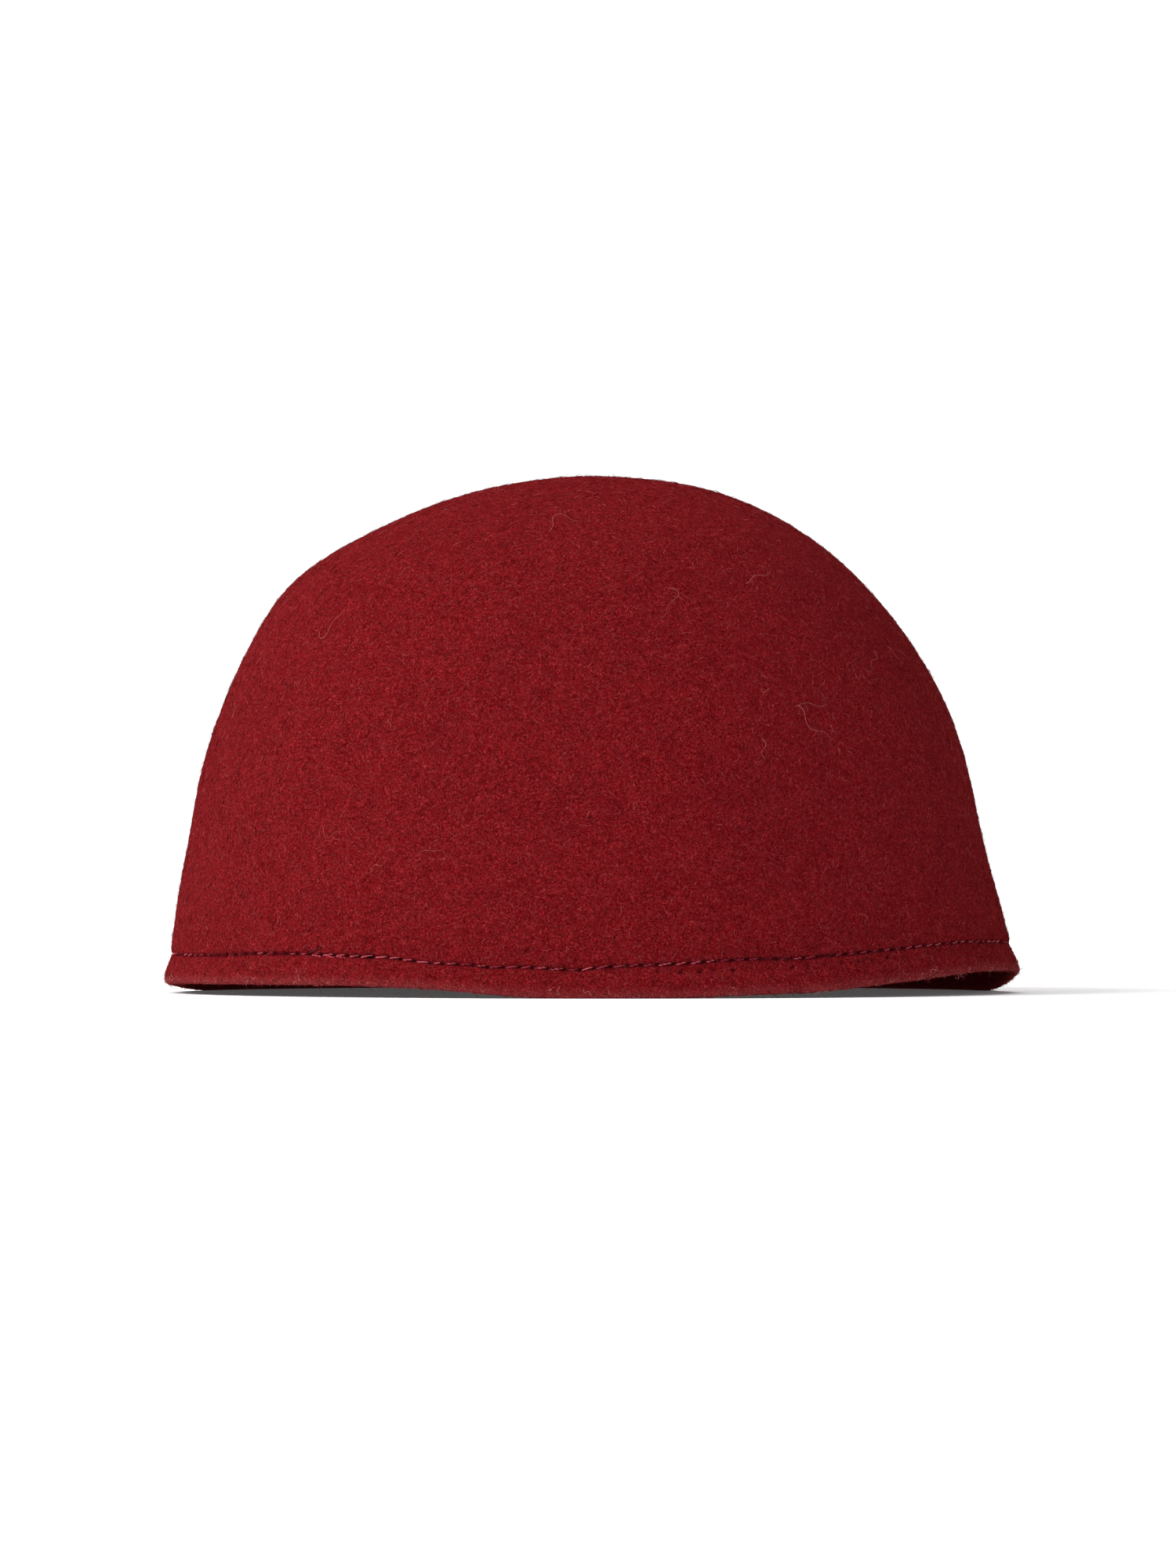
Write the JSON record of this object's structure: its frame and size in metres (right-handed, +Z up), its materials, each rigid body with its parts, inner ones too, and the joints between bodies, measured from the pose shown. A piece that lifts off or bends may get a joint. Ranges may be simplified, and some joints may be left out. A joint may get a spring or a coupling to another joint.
{
  "type": "hat",
  "caption": "Brimless felt cap: one deep dome of thick dark red wool felt with a raw cut edge, a line of stitches just above it and an open hollow for the head.",
  "frame": {"origin": "centre of the cap's plan, on the surface that its cut edge rests on", "axes": "+Z up through the top of the dome, +X towards the back of the head, -X towards the front, +Y towards the wearer's right side"},
  "size_m": [0.206, 0.1728, 0.1246],
  "materials": {
    "wool_felt": "dark red matted wool felt, matt and hairy"
  },
  "bodies": {
    "root": {"felt_crown": "wool_felt"}
  },
  "joints": []
}
